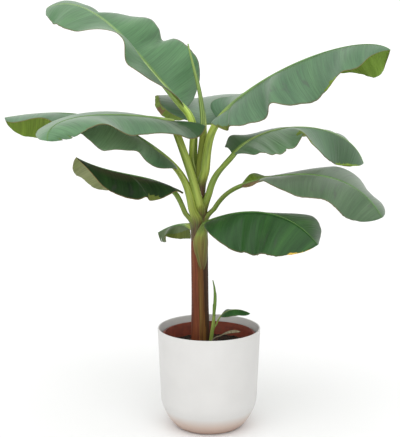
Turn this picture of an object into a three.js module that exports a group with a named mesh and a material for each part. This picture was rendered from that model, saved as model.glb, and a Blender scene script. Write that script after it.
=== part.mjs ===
// Potted banana plant: a trunk of wrapped leaf sheaths with ten leaves and a rolled new one, and a sucker,
// in a plastic nursery pot that stands inside a round planter.
// Millimetres, +Z up. The origin is the middle of the planter's flat underside.
// Seen from the front, +X is to the right and +Y to the back.

import * as THREE from 'three';

// Clearance between pieces that touch
const GAP = 0.3;

// Planter
const POT_HEIGHT = 230;
const POT_RIM_RADIUS = 117.5;
const POT_WALL = 3.6;
const POT_FOOT_RADIUS = 70;
const POT_CORNER_RADIUS = 110.6;
const POT_CORNER_HEIGHT = 68;
const POT_CORNER_PULL_OUT = 14;
const POT_CORNER_PULL_DOWN = 24;

// Nursery pot, standing on the planter's floor
const LINER_WALL = 2;
const LINER_FOOT_RADIUS = 69;
const LINER_RIM_RADIUS = 104;
const LINER_RIM_HEIGHT = 216;
const LINER_LIP = 2;

// Potting soil, level with the flat cut under the trunk
const SOIL_HEIGHT = 186;

// Trunk: a slow taper over a slight flare, with a lean at the top
const TRUNK_FOOT = [-20, 0, SOIL_HEIGHT + GAP];
const TRUNK_BEND_LOW = [-20, 0, 360];
const TRUNK_BEND_HIGH = [-27, 0, 540];
const TRUNK_TIP = [-14, 0, 680];
const TRUNK_RADII = [22.5, 20, 19.5, 18.5, 13, 9.5, 6];

// Rolled new leaf that stands on the trunk's tip
const SPEAR_BEND_LOW = [-9, -2, 750];
const SPEAR_BEND_HIGH = [-28, -8, 800];
const SPEAR_TIP = [-47, -8, 868];
const SPEAR_RADII = [5.5, 5, 3.5, 1.6];

// Sucker beside the trunk
const SUCKER_FOOT = [4, -26, SOIL_HEIGHT + GAP];
const SUCKER_BEND_LOW = [4, -26, 220];
const SUCKER_BEND_HIGH = [10, -26, 235];
const SUCKER_TIP = [11, -26, 262];
const SUCKER_RADII = [5, 4.5, 4, 3.5];
const SUCKER_SPEAR_BEND_LOW = [12, -26, 290];
const SUCKER_SPEAR_BEND_HIGH = [17, -26, 315];
const SUCKER_SPEAR_TIP = [8, -26, 345];
const SUCKER_SPEAR_RADII = [3.5, 4, 3, 1.2];

// Leaf blades: the curl is the turn across each half in degrees, and the tip's round is a share of the length
const BLADE_THICKNESS = 1.6;
const BLADE_CURL = 24;
const BLADE_TIP_ROUND = 0.5;
const BLADE_TIP_POWER = 0.5;
const BLADE_LEAST_WIDTH = 3;

// Midribs and stalks, as shares of the stalk's radius and length
const RIB_BASE_SHARE = 0.8;
const RIB_TIP_SHARE = 0.14;
const RIB_TAPER_POWER = 1.6;
const STALK_END_SHARE = 0.8;
const STALK_BEND_SHARE = 0.4;

// Facets: round turned pieces, limbs round and along, and blades along and across
const TURNED_SIDES = 36;
const POT_ARC_STEPS = 5;
const TRUNK_SIDES = 18;
const TRUNK_STEPS = 14;
const LIMB_SIDES = 8;
const SPEAR_STEPS = 8;
const SUCKER_STEPS = 4;
const SUCKER_SPEAR_STEPS = 5;
const STALK_STEPS = 6;
const RIB_SIDES = 6;
const BLADE_STEPS = 12;
const BLADE_ROWS = 2;

// Halvings in the search for the place on a stem at a given height
const SEARCH_STEPS = 40;

// Each leaf leaves its stem at the height rises, in the compass direction side (degrees from +X),
// with its stalk at lean degrees from upright. bends are the shares of the stalk over which it bends
// away from the stem and into the midrib, where that is not the usual share.
// rib is the midrib's curve from the blade's base to its tip, and baseRound is the share of it over
// which the blade reaches its full width. left and right are how far each half of the blade hangs
// below level, in degrees, at even steps from base to tip.
const LEAVES = [
  {
    name: 'top_left_leaf',
    rises: 590,
    side: 140,
    lean: 15,
    stalkRadius: 7,
    halfWidth: 105,
    baseRound: 0.16,
    rib: [[-56, 15, 728], [-155, 50, 825], [-258, 120, 1015], [-378, 150, 943]],
    left: [-24, -8, -20, 18, 44, 34],
    right: [-10, -50, -27, -10, 4, 0],
  },
  {
    name: 'top_right_leaf',
    rises: 570,
    side: 300,
    lean: 12,
    stalkRadius: 8,
    halfWidth: 100,
    baseRound: 0.16,
    rib: [[20, -10, 702], [98, -80, 813], [308, -178, 893], [356, -204, 850]],
    left: [-50, -2, 15, 26, 45, 40],
    right: [15, 48, 55, 53, 35, 30],
  },
  {
    name: 'front_left_leaf',
    rises: 505,
    side: 275,
    lean: 10,
    bends: [0.12, 0.04],
    stalkRadius: 7.5,
    halfWidth: 90,
    baseRound: 0.16,
    rib: [[-84, -10, 700], [-170, -95, 724], [-335, -220, 735], [-318, -258, 674]],
    left: [14, 20, 25, 8, 9, 25],
    right: [5, -2, 0, 7, 19, 32],
  },
  {
    name: 'far_left_leaf',
    rises: 485,
    side: 236,
    lean: 12,
    stalkRadius: 7.5,
    halfWidth: 86,
    baseRound: 0.18,
    rib: [[-92, 0, 615], [-211, -10, 719], [-303, -30, 733], [-444, -45, 709]],
    left: [25, 22, 40, 18, 4, 18],
    right: [10, 12, 14, 37, 52, 76],
  },
  {
    name: 'low_left_leaf',
    rises: 475,
    side: 195,
    lean: 25,
    stalkRadius: 7,
    halfWidth: 84,
    baseRound: 0.5,
    rib: [[-80, -20, 546], [-122, -90, 594], [-202, -170, 593], [-269, -210, 638]],
    left: [5, 22, 30, 37, 40, 17],
    right: [20, 20, 23, 27, 26, 45],
  },
  {
    name: 'back_left_leaf',
    rises: 410,
    side: 92,
    lean: 25,
    stalkRadius: 7,
    halfWidth: 34,
    baseRound: 0.3,
    rib: [[-44, 35, 460], [-66, 70, 461], [-96, 100, 447], [-121, 120, 428]],
    left: [75, 78, 80, 80, 80, 80],
    right: [20, 20, 20, 25, 30, 30],
  },
  {
    name: 'mid_right_leaf',
    rises: 510,
    side: 318,
    lean: 8,
    bends: [0.6, 0.3],
    stalkRadius: 7.5,
    halfWidth: 90,
    baseRound: 0.18,
    rib: [[54, 15, 624], [123, 50, 708], [328, 100, 704], [365, 120, 594]],
    left: [-24, 4, 8, 15, 8, 25],
    right: [-8, 26, 16, 46, 60, 60],
  },
  {
    name: 'low_right_leaf',
    rises: 485,
    side: 358,
    lean: 25,
    stalkRadius: 7,
    halfWidth: 89,
    baseRound: 0.4,
    rib: [[81, -10, 561], [218, -40, 607], [320, -90, 590], [368, -110, 500]],
    left: [0, 3, -11, -6, 4, -9],
    right: [6, 10, 27, 24, 43, 62],
  },
  {
    name: 'front_right_leaf',
    rises: 445,
    side: 290,
    lean: 15,
    stalkRadius: 7,
    halfWidth: 92,
    baseRound: 0.3,
    rib: [[-5, -32, 478], [100, -90, 533], [178, -190, 518], [219, -210, 459]],
    left: [28, 15, 15, 4, 7, 16],
    right: [10, 42, 70, 55, 57, 60],
  },
  {
    name: 'back_leaf',
    rises: 590,
    side: 60,
    lean: 15,
    stalkRadius: 7,
    halfWidth: 104,
    baseRound: 0.16,
    rib: [[-13, 32, 690], [-10, 130, 768], [-48, 280, 756], [-26, 390, 690]],
    left: [-14, -12, -4, 17, 43, 56],
    right: [-10, -10, -6, 10, 35, 62],
  },
];

// The sucker's own small leaves, one green and one withered
const SUCKER_LEAVES = [
  {
    name: 'sucker_leaf',
    rises: 238,
    side: 0,
    lean: 15,
    stalkRadius: 2,
    halfWidth: 17,
    baseRound: 0.3,
    rib: [[26, -26, 262], [40, -30, 280], [66, -36, 286], [92, -40, 272]],
    left: [-10, -10, 10, 20, 30, 30],
    right: [10, 30, 40, 40, 40, 40],
  },
  {
    name: 'sucker_withered_leaf',
    rises: 208,
    side: 330,
    lean: 15,
    stalkRadius: 1.6,
    halfWidth: 8,
    baseRound: 0.3,
    rib: [[30, -36, 222], [40, -40, 232], [56, -44, 238], [70, -46, 232]],
    left: [10, 20, 30, 40, 40, 40],
    right: [10, 20, 30, 40, 40, 40],
  },
];

// Finishes
const finish = (color, roughness) => new THREE.MeshStandardMaterial({ color, roughness, metalness: 0 });
const POT_WHITE = finish('#e2e1df', 0.45);
const LINER_BROWN = finish('#74301c', 0.55);
const SOIL_DARK = finish('#2b1f16', 0.95);
const SHEATH_BROWN = finish('#6e4a30', 0.6);
const STALK_GREEN = finish('#93a548', 0.5);
const BLADE_GREEN = finish('#54795a', 0.45);
const SPEAR_GREEN = finish('#a9c070', 0.5);
const WITHERED_BROWN = finish('#7d7355', 0.8);

const UP = new THREE.Vector3(0, 0, 1);
const point = (place) => new THREE.Vector3(...place);
const radians = THREE.MathUtils.degToRad;
const plant = new THREE.Group();

// A smooth value between evenly spaced ones, for t from 0 to 1
function smoothValue(values, t) {
  const line = new THREE.SplineCurve(values.map((value, i) => new THREE.Vector2(i, value)));
  return line.getPoint(t).y;
}

function bezier(places) {
  return new THREE.CubicBezierCurve3(...places.map(point));
}

// Tangent, side and upper normal at t on a curve, with the side kept level where the curve allows it
function frameAt(curve, t, sideHint) {
  const tangent = curve.getTangent(t);
  const side = sideHint ? sideHint.clone() : new THREE.Vector3().crossVectors(tangent, UP);
  side.addScaledVector(tangent, -side.dot(tangent)).normalize();
  const normal = new THREE.Vector3().crossVectors(side, tangent);
  return { tangent, side, normal };
}

function addMesh(name, geometry, material) {
  const mesh = new THREE.Mesh(geometry, material);
  mesh.name = name;
  plant.add(mesh);
}

// A round limb along a curve, tapering as radiusAt says, with flat ends. stepAt may set where its steps lie.
function addLimb(name, { curve, radiusAt, sideHint, stepAt }, sides, steps, material) {
  const geometry = new THREE.CylinderGeometry(1, 1, 1, sides, steps);
  const place = geometry.attributes.position;
  for (let i = 0; i < place.count; i += 1) {
    const share = place.getY(i) + 0.5;
    const t = stepAt ? stepAt(share) : share;
    const { side, normal } = frameAt(curve, t, sideHint);
    const radius = radiusAt(t);
    const centre = curve.getPoint(t);
    centre.addScaledVector(side, place.getX(i) * radius);
    centre.addScaledVector(normal, place.getZ(i) * radius);
    place.setXYZ(i, centre.x, centre.y, centre.z);
  }
  addMesh(name, geometry, material);
}

function addTurned(name, profile, arcSteps, material) {
  const mesh = new THREE.Mesh(new THREE.LatheGeometry(profile.getPoints(arcSteps), TURNED_SIDES), material);
  mesh.name = name;
  mesh.rotation.x = Math.PI / 2;
  plant.add(mesh);
}

// Planter: a flat foot, a soft round corner, walls that open a little, and a rounded rim
function addPot() {
  const halfWall = POT_WALL / 2;
  const pullOut = POT_FOOT_RADIUS + POT_CORNER_PULL_OUT;
  const pullDown = POT_CORNER_HEIGHT - POT_CORNER_PULL_DOWN;
  const inside = POT_CORNER_RADIUS - POT_WALL;
  const profile = new THREE.Path();
  profile.moveTo(0, 0);
  profile.lineTo(POT_FOOT_RADIUS, 0);
  profile.bezierCurveTo(pullOut, 0, POT_CORNER_RADIUS, pullDown, POT_CORNER_RADIUS, POT_CORNER_HEIGHT);
  profile.lineTo(POT_RIM_RADIUS, POT_HEIGHT - halfWall);
  profile.absarc(POT_RIM_RADIUS - halfWall, POT_HEIGHT - halfWall, halfWall, 0, Math.PI);
  profile.lineTo(inside, POT_CORNER_HEIGHT);
  profile.bezierCurveTo(inside, pullDown, pullOut, POT_WALL, POT_FOOT_RADIUS, POT_WALL);
  profile.lineTo(0, POT_WALL);
  addTurned('pot', profile, POT_ARC_STEPS, POT_WHITE);
}

// Nursery pot: plain tapering walls with a thickened lip
function addLiner() {
  const foot = POT_WALL + GAP;
  const lipInside = LINER_RIM_RADIUS - LINER_WALL;
  const profile = new THREE.Path();
  profile.moveTo(0, foot);
  profile.lineTo(LINER_FOOT_RADIUS, foot);
  profile.lineTo(LINER_RIM_RADIUS, LINER_RIM_HEIGHT - 2 * LINER_LIP);
  profile.lineTo(LINER_RIM_RADIUS + LINER_LIP, LINER_RIM_HEIGHT - LINER_LIP);
  profile.lineTo(LINER_RIM_RADIUS + LINER_LIP, LINER_RIM_HEIGHT);
  profile.lineTo(lipInside, LINER_RIM_HEIGHT);
  profile.lineTo(LINER_FOOT_RADIUS - LINER_WALL, foot + LINER_WALL);
  profile.lineTo(0, foot + LINER_WALL);
  addTurned('nursery_pot', profile, 1, LINER_BROWN);
}

// Soil: a plug that fills the nursery pot up to a level top
function addSoil() {
  const floor = POT_WALL + GAP + LINER_WALL;
  const footRadius = LINER_FOOT_RADIUS - LINER_WALL;
  const rimRadius = LINER_RIM_RADIUS - LINER_WALL;
  const fill = (SOIL_HEIGHT - floor) / (LINER_RIM_HEIGHT - floor);
  const topRadius = footRadius + (rimRadius - footRadius) * fill;
  const profile = new THREE.Path();
  profile.moveTo(0, floor + GAP);
  profile.lineTo(footRadius - GAP, floor + GAP);
  profile.lineTo(topRadius - GAP, SOIL_HEIGHT);
  profile.lineTo(0, SOIL_HEIGHT);
  addTurned('soil', profile, 1, SOIL_DARK);
}

// A stem of the clump: its axis, its taper and a fixed side so that its foot is cut level
function stem(places, radii) {
  return {
    curve: bezier(places),
    radiusAt: (t) => smoothValue(radii, t),
    sideHint: new THREE.Vector3(1, 0, 0),
  };
}

// The middle of a stalk's foot, which rests against its stem at the height where the leaf rises
function footOn({ curve, radiusAt }, leaf, outwards) {
  let low = 0;
  let high = 1;
  for (let i = 0; i < SEARCH_STEPS; i += 1) {
    const middle = (low + high) / 2;
    if (curve.getPoint(middle).z < leaf.rises) {
      low = middle;
    } else {
      high = middle;
    }
  }
  const reach = radiusAt(low) + leaf.stalkRadius * Math.cos(radians(leaf.lean)) + GAP;
  return curve.getPoint(low).addScaledVector(outwards, reach);
}

// Steps along a blade lie closer together towards its two ends
function spread(share) {
  return 0.5 - 0.5 * Math.cos(Math.PI * share);
}

// Share of the half width at t: round at the base, a long ellipse at the tip
function bladeOutline(t, baseRound) {
  const baseShare = Math.max(0, 1 - t / baseRound);
  const tipShare = Math.max(0, (t - 1 + BLADE_TIP_ROUND) / BLADE_TIP_ROUND);
  return Math.sqrt(1 - baseShare ** 2) * (1 - tipShare ** 2) ** BLADE_TIP_POWER;
}

function ribRadius(leaf, t) {
  const taper = (1 - t) ** RIB_TAPER_POWER;
  return leaf.stalkRadius * (RIB_TIP_SHARE + (RIB_BASE_SHARE - RIB_TIP_SHARE) * taper);
}

// A board's lower face, with each square split along the same diagonal as the square above it,
// so that the board keeps its thickness where it twists
function matchDiagonals(board) {
  const lower = board.groups[board.groups.length - 1];
  for (let i = lower.start; i < lower.start + lower.count; i += 6) {
    const [a, b, d, c] = [0, 1, 2, 4].map((k) => board.index.getX(i + k));
    [a, b, c, a, c, d].forEach((corner, k) => board.index.setX(i + k, corner));
  }
}

// Half of a blade: a thin board laid along the midrib, bent to the hang of that half.
// turn is 1 for the half on the right of the midrib, seen from its base, and -1 for the left.
function addHalfBlade(leaf, curve, hang, turn, name, material) {
  const geometry = new THREE.BoxGeometry(1, 1, 1, BLADE_STEPS, BLADE_ROWS, 1);
  matchDiagonals(geometry);
  const place = geometry.attributes.position;
  for (let i = 0; i < place.count; i += 1) {
    const t = spread(place.getX(i) + 0.5);
    const { side, normal } = frameAt(curve, t);
    const inner = ribRadius(leaf, t) + GAP;
    const outer = Math.max(leaf.halfWidth * bladeOutline(t, leaf.baseRound), inner + BLADE_LEAST_WIDTH);
    const across = 0.5 - turn * place.getY(i);
    const reach = inner + (outer - inner) * across;
    const chord = radians(smoothValue(hang, t) + BLADE_CURL * (across - 1) / 2);
    const slope = radians(smoothValue(hang, t) + BLADE_CURL * (across - 0.5));
    const lift = place.getZ(i) * BLADE_THICKNESS;
    const spot = curve.getPoint(t);
    spot.addScaledVector(side, turn * (reach * Math.cos(chord) + lift * Math.sin(slope)));
    spot.addScaledVector(normal, lift * Math.cos(slope) - reach * Math.sin(chord));
    place.setXYZ(i, spot.x, spot.y, spot.z);
  }
  addMesh(name, geometry, material);
}

// A leaf: a stalk that leaves its stem upwards, the midrib, and the two halves of the blade
function addLeaf(leaf, parent, stalkMaterial, bladeMaterial) {
  const rib = bezier(leaf.rib);
  const outwards = new THREE.Vector3(1, 0, 0).applyAxisAngle(UP, radians(leaf.side));
  const across = new THREE.Vector3().crossVectors(outwards, UP);
  const rise = UP.clone().applyAxisAngle(across, -radians(leaf.lean));
  const foot = footOn(parent, leaf, outwards);
  const ribStart = rib.getTangent(0);
  const end = rib.getPoint(0).addScaledVector(ribStart, -GAP);
  const reach = foot.distanceTo(end);
  const [lowBend, highBend] = leaf.bends ?? [STALK_BEND_SHARE, STALK_BEND_SHARE];
  const lower = foot.clone().addScaledVector(rise, reach * lowBend);
  const upper = end.clone().addScaledVector(ribStart, -reach * highBend);
  const stalk = {
    curve: new THREE.CubicBezierCurve3(foot, lower, upper, end),
    radiusAt: (t) => leaf.stalkRadius * (1 - (1 - STALK_END_SHARE) * t),
    sideHint: across,
  };
  const midrib = { curve: rib, radiusAt: (t) => ribRadius(leaf, t), stepAt: spread };
  addLimb(`${leaf.name}_stalk`, stalk, LIMB_SIDES, STALK_STEPS, stalkMaterial);
  addLimb(`${leaf.name}_rib`, midrib, RIB_SIDES, BLADE_STEPS, stalkMaterial);
  addHalfBlade(leaf, rib, leaf.left, -1, `${leaf.name}_left_half`, bladeMaterial);
  addHalfBlade(leaf, rib, leaf.right, 1, `${leaf.name}_right_half`, bladeMaterial);
}

const trunk = stem([TRUNK_FOOT, TRUNK_BEND_LOW, TRUNK_BEND_HIGH, TRUNK_TIP], TRUNK_RADII);
const sucker = stem([SUCKER_FOOT, SUCKER_BEND_LOW, SUCKER_BEND_HIGH, SUCKER_TIP], SUCKER_RADII);
const raised = ([x, y, z]) => [x, y, z + GAP];
const spear = stem([raised(TRUNK_TIP), SPEAR_BEND_LOW, SPEAR_BEND_HIGH, SPEAR_TIP], SPEAR_RADII);
const suckerSpear = stem(
  [raised(SUCKER_TIP), SUCKER_SPEAR_BEND_LOW, SUCKER_SPEAR_BEND_HIGH, SUCKER_SPEAR_TIP],
  SUCKER_SPEAR_RADII,
);

addPot();
addLiner();
addSoil();
addLimb('trunk', trunk, TRUNK_SIDES, TRUNK_STEPS, SHEATH_BROWN);
addLimb('rolled_leaf', spear, LIMB_SIDES, SPEAR_STEPS, SPEAR_GREEN);
for (const leaf of LEAVES) {
  addLeaf(leaf, trunk, STALK_GREEN, BLADE_GREEN);
}
addLimb('sucker_stem', sucker, LIMB_SIDES, SUCKER_STEPS, SPEAR_GREEN);
addLimb('sucker_rolled_leaf', suckerSpear, LIMB_SIDES, SUCKER_SPEAR_STEPS, SPEAR_GREEN);
addLeaf(SUCKER_LEAVES[0], sucker, SPEAR_GREEN, BLADE_GREEN);
addLeaf(SUCKER_LEAVES[1], sucker, WITHERED_BROWN, WITHERED_BROWN);

export default plant;
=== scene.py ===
# %% [markdown]
# # A potted banana plant
#
# A young banana plant stands in a brown nursery pot inside a round white planter. Its trunk is not wood:
# it is a bundle of leaf bases wrapped round each other, and every leaf grows on from its own wrap as a
# grooved stalk, a midrib and two wide half blades. We load the plain solids first, so that every finer
# piece has a place to go. Sizes are written in millimetres unless a line says otherwise, and MM makes
# metres of them.

import functools
import math
import random

import bmesh
import bpy
from mathutils import Matrix, Vector, noise


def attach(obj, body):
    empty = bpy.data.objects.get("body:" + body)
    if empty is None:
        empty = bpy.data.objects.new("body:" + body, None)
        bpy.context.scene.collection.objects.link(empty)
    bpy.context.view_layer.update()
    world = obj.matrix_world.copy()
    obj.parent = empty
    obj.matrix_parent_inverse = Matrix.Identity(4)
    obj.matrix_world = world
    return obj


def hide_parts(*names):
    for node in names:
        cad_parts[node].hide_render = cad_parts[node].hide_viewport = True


MM = 0.001

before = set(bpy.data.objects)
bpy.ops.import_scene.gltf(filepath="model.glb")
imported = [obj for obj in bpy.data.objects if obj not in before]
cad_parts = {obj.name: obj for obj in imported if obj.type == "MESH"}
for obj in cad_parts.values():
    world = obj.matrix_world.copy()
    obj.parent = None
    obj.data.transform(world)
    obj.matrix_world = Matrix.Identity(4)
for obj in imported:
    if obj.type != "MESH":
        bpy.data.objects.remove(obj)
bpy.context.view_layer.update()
scene = bpy.context.scene

# %% [markdown]
# ## Camera
#
# The photo is taken from a little above the middle of the plant, with a long lens. The rim of the planter
# is a circle, so the shape of its ellipse tells how far down the camera looks. We write the lens as a
# focal length in pixels of the photo, because that is what can be measured, and turn it into millimetres
# of a 36 mm sensor. The camera's place is in metres.

# %% Make the camera
PHOTO_LONG_SIDE = 437
CAMERA_PLACE = (-0.0206, -2.1, 0.8074)
CAMERA_DOWN = math.radians(8.83)
CAMERA_FOCAL_PIXELS = 944.1
SENSOR = 36

lens = bpy.data.cameras.new("camera")
lens.sensor_width = SENSOR
lens.lens = CAMERA_FOCAL_PIXELS * SENSOR / PHOTO_LONG_SIDE
camera = bpy.data.objects.new("camera", lens)
camera.location = CAMERA_PLACE
camera.rotation_euler = (math.pi / 2 - CAMERA_DOWN, 0, 0)
scene.collection.objects.link(camera)
scene.camera = camera
print("lens:", round(lens.lens, 1), "mm")

# %% [markdown]
# ## Studio light
#
# The plant is lit softly from all round, with more light from the front and above: leaves that lie flat
# mirror the bright room and look pale, and leaves that hang down look deep green. A white world gives the
# soft part. A sun lamp with a very wide disc gives the rest: it lights the floor evenly as far as the eye
# goes, which a softbox near the plant would not.

# %% Light the studio
WORLD_STRENGTH = 1.15
LAMP_STRENGTH = 1.7
LAMP_SPREAD = math.radians(100)
LAMP_FROM = Vector((-0.15, -1, 0.6))

scene.view_settings.view_transform = "Standard"
scene.world = bpy.data.worlds.new("studio")
scene.world.use_nodes = True
background = scene.world.node_tree.nodes["Background"]
background.inputs["Color"].default_value = (1, 1, 1, 1)
background.inputs["Strength"].default_value = WORLD_STRENGTH
lamp = bpy.data.lights.new("wide_lamp", "SUN")
lamp.energy = LAMP_STRENGTH
lamp.angle = LAMP_SPREAD
wide_lamp = bpy.data.objects.new("wide_lamp", lamp)
wide_lamp.rotation_euler = LAMP_FROM.to_track_quat("Z", "Y").to_euler()
scene.collection.objects.link(wide_lamp)
print("lamp:", LAMP_STRENGTH, "W per square metre")

# %% [markdown]
# ## Helpers for materials
#
# Colours are picked as the hex values a painter would note down, and one function turns them into the
# linear numbers that a renderer counts with. A second function adds one node with its settings and its
# links and hands back its output, so that a material reads as a list of what feeds what. A layer is the
# node that lays one colour over another by a share.

# %% Material helpers
RAMP = "ShaderNodeValToRGB"
NOISE = "ShaderNodeTexNoise"
RANGE = "ShaderNodeMapRange"
PARTS = "ShaderNodeSeparateXYZ"
ATTRIBUTE = "ShaderNodeAttribute"
LAYER = {"kind": "ShaderNodeMix", "output": 2, "data_type": "RGBA"}
SHARE, UNDER, OVER = 0, 6, 7


def colour(code):
    """Linear colour of an sRGB hex code."""
    levels = [int(code[i:i + 2], 16) / 255 for i in (1, 3, 5)]
    return [c / 12.92 if c < 0.04045 else ((c + 0.055) / 1.055) ** 2.4 for c in levels] + [1]


def add(tree, kind, sockets=None, output=0, stops=(), **settings):
    """Adds a node and hands back an output: sockets are values, hex codes or outputs for its inputs, stops
    are the places and hex codes of a colour ramp, and settings are its other properties."""
    node = tree.nodes.new(kind)
    for name, value in settings.items():
        setattr(node, name, value)
    for name, value in (sockets or {}).items():
        if isinstance(value, bpy.types.NodeSocket):
            tree.links.new(value, node.inputs[name])
        else:
            node.inputs[name].default_value = colour(value) if isinstance(value, str) else value
    for _ in stops[2:]:
        node.color_ramp.elements.new(0.5)
    for i, (place, code) in enumerate(stops):
        node.color_ramp.elements[i].position = place
        node.color_ramp.elements[i].color = colour(code)
    return node.outputs[output]


def start_material(name, roughness, ior=1.45):
    """A new material and its tree, with the constant values on the shader's own sockets."""
    material = bpy.data.materials.new(name)
    material.use_nodes = True
    shader = material.node_tree.nodes["Principled BSDF"]
    shader.inputs["Roughness"].default_value = roughness
    shader.inputs["IOR"].default_value = ior
    return material, material.node_tree, shader


def finish_material(tree, shader, base, height, depth):
    """Joins the colour and a relief, whose depth is in metres, to the shader."""
    tree.links.new(base, shader.inputs["Base Color"])
    normal = add(tree, "ShaderNodeBump", {"Height": height, "Distance": depth, "Strength": 1})
    tree.links.new(normal, shader.inputs["Normal"])


print("material helpers ready")

# %% [markdown]
# ## Helpers for pieces
#
# Two ways of modelling make nearly everything here. A limb starts as a circle that is extruded ring by
# ring into a straight tube, and is then bent: each point knows its angle round the tube and its share of
# the length. A blade starts as a flat grid and is bent the same way. Each point also keeps where it was
# before the bend, in an attribute, so that the grain of a material can follow the piece.

# %% Piece helpers
GRAIN = "grain"
UP = Vector((0, 0, 1))


def grow_tube(sides, steps):
    """A straight closed tube along Z, of radius 1 and length 1."""
    bm = bmesh.new()
    bmesh.ops.create_circle(bm, cap_ends=True, segments=sides, radius=1)
    edges = list(bm.edges)
    for _ in range(steps):
        grown = bmesh.ops.extrude_edge_only(bm, edges=edges)["geom"]
        ring = {part for part in grown if isinstance(part, bmesh.types.BMVert)}
        grown_edges = [part for part in grown if isinstance(part, bmesh.types.BMEdge)]
        edges = [edge for edge in grown_edges if ring.issuperset(edge.verts)]
        bmesh.ops.translate(bm, verts=list(ring), vec=(0, 0, 1 / steps))
    bmesh.ops.contextual_create(bm, geom=edges)
    bmesh.ops.recalc_face_normals(bm, faces=bm.faces)
    return bm


def bend_tube(bm, place, radius, height):
    """Moves each point of a straight tube to place(angle, share). Its grain has height(share) as Z."""
    grain = bm.verts.layers.float_vector.new(GRAIN)
    for vert in bm.verts:
        angle = math.atan2(vert.co.y, vert.co.x)
        share = vert.co.z
        vert[grain] = (vert.co.x * radius, vert.co.y * radius, height(share))
        vert.co = place(angle, share)


def finish_piece(name, bm, materials, slot, nodes=(), crease=None):
    """Turns a bmesh into a smooth object that rides on the plant and stands for its CAD nodes."""
    mesh = bpy.data.meshes.new(name)
    bm.to_mesh(mesh)
    bm.free()
    for material in materials:
        mesh.materials.append(material)
    mesh.shade_smooth()
    if crease is not None:
        mesh.set_sharp_from_angle(angle=math.radians(crease))
    piece = bpy.data.objects.new(name, mesh)
    scene.collection.objects.link(piece)
    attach(piece, "root")
    if nodes:
        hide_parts(*nodes)
    print(name, len(mesh.polygons), "faces")
    return piece


def smooth_step(low, high, value):
    """0 below low, 1 above high, and an even slope between them."""
    share = min(1, max(0, (value - low) / (high - low)))
    return share * share * (3 - 2 * share)


def blend(first, last, share):
    """The value at a share of the way from first to last."""
    return first + (last - first) * share


def hill(value, centre, width):
    """1 at the centre, fading to nearly 0 at twice the width from it."""
    return math.exp(-((value - centre) / width) ** 2)


def bezier(points, t):
    """Point at t on a cubic curve."""
    a, b, c, d = points
    u = 1 - t
    return a * u ** 3 + b * (3 * u * u * t) + c * (3 * u * t * t) + d * t ** 3


print("piece helpers ready")

# %% [markdown]
# ## The floor
#
# A plain sheet of studio paper lies a hair under the planter. It isn't part of the plant, so it is only
# staged. Its grey is chosen so that under this light it comes out nearly white, as the photo's ground
# does, and still sends less light up than the room sends down. Its half size is in metres.

# %% Lay the floor
FLOOR_HALF_SIZE = 30
FLOOR_DROP = 0.3

floor_bm = bmesh.new()
bmesh.ops.create_grid(floor_bm, x_segments=1, y_segments=1, size=FLOOR_HALF_SIZE)
bmesh.ops.translate(floor_bm, verts=floor_bm.verts, vec=(0, 0, -FLOOR_DROP * MM))
floor_mesh = bpy.data.meshes.new("floor")
floor_bm.to_mesh(floor_mesh)
floor_bm.free()
paper, _, paper_shader = start_material("matt_studio_paper", roughness=0.9)
paper_shader.inputs["Base Color"].default_value = colour("#e4e4e4")
floor_mesh.materials.append(paper)
floor = bpy.data.objects.new("floor", floor_mesh)
scene.collection.objects.link(floor)
print("floor:", 2 * FLOOR_HALF_SIZE, "m wide")

# %% [markdown]
# ## The planter
#
# The planter is one moulding of white plastic: a flat foot, a soft round corner and walls that open a
# little towards a rounded rim. It could be cut from a cylinder, but a turned shape is simplest to spin:
# we draw half of its section and turn that round the Z axis.

# %% Draw and spin turned shapes
ARC_STEPS = 10
SPIN_STEPS = 128
MERGE_DISTANCE = 0.01


def spin_profile(profile):
    """A closed shell, in metres, from half a section given as radius and height in millimetres."""
    bm = bmesh.new()
    verts = [bm.verts.new((radius * MM, 0, height * MM)) for radius, height in profile]
    edges = [bm.edges.new(pair) for pair in zip(verts, verts[1:])]
    bmesh.ops.spin(bm, geom=verts + edges, cent=(0, 0, 0), axis=(0, 0, 1), angle=2 * math.pi,
                   steps=SPIN_STEPS, use_merge=True)
    bmesh.ops.remove_doubles(bm, verts=bm.verts, dist=MERGE_DISTANCE * MM)
    bmesh.ops.recalc_face_normals(bm, faces=bm.faces)
    return bm


def soft_corner(*pairs):
    """A soft corner of the section, as a curve between radius and height pairs."""
    curve = [Vector(pair) for pair in pairs]
    return [bezier(curve, i / ARC_STEPS) for i in range(ARC_STEPS + 1)]


def round_rim(middle, height, half_wall):
    """A half round from the outer wall over to the inner one."""
    turns = [math.pi * i / ARC_STEPS for i in range(ARC_STEPS + 1)]
    return [(middle + half_wall * math.cos(turn), height + half_wall * math.sin(turn)) for turn in turns]


print("a spin has", SPIN_STEPS, "steps")

# %% Make the planter
POT_HEIGHT = 230
POT_RIM_RADIUS = 117.5
POT_WALL = 3.6
POT_FOOT_RADIUS = 70
POT_CORNER_RADIUS = 110.6
POT_CORNER_HEIGHT = 68
POT_CORNER_PULL_OUT = 14
POT_CORNER_PULL_DOWN = 24
PLASTIC_CLOUD = 60
PLASTIC_GRAIN = 2
PAINTED_FOOT_SHADE_HEIGHT = 45

corner_pull = POT_FOOT_RADIUS + POT_CORNER_PULL_OUT
corner_low = POT_CORNER_HEIGHT - POT_CORNER_PULL_DOWN
inner_corner = POT_CORNER_RADIUS - POT_WALL
pot_profile = [(0, 0)]
pot_profile += soft_corner((POT_FOOT_RADIUS, 0), (corner_pull, 0), (POT_CORNER_RADIUS, corner_low),
                           (POT_CORNER_RADIUS, POT_CORNER_HEIGHT))
pot_profile += round_rim(POT_RIM_RADIUS - POT_WALL / 2, POT_HEIGHT - POT_WALL / 2, POT_WALL / 2)
pot_profile += soft_corner((inner_corner, POT_CORNER_HEIGHT), (inner_corner, corner_low),
                           (corner_pull, POT_WALL), (POT_FOOT_RADIUS, POT_WALL))
pot_profile += [(0, POT_WALL)]


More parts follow.
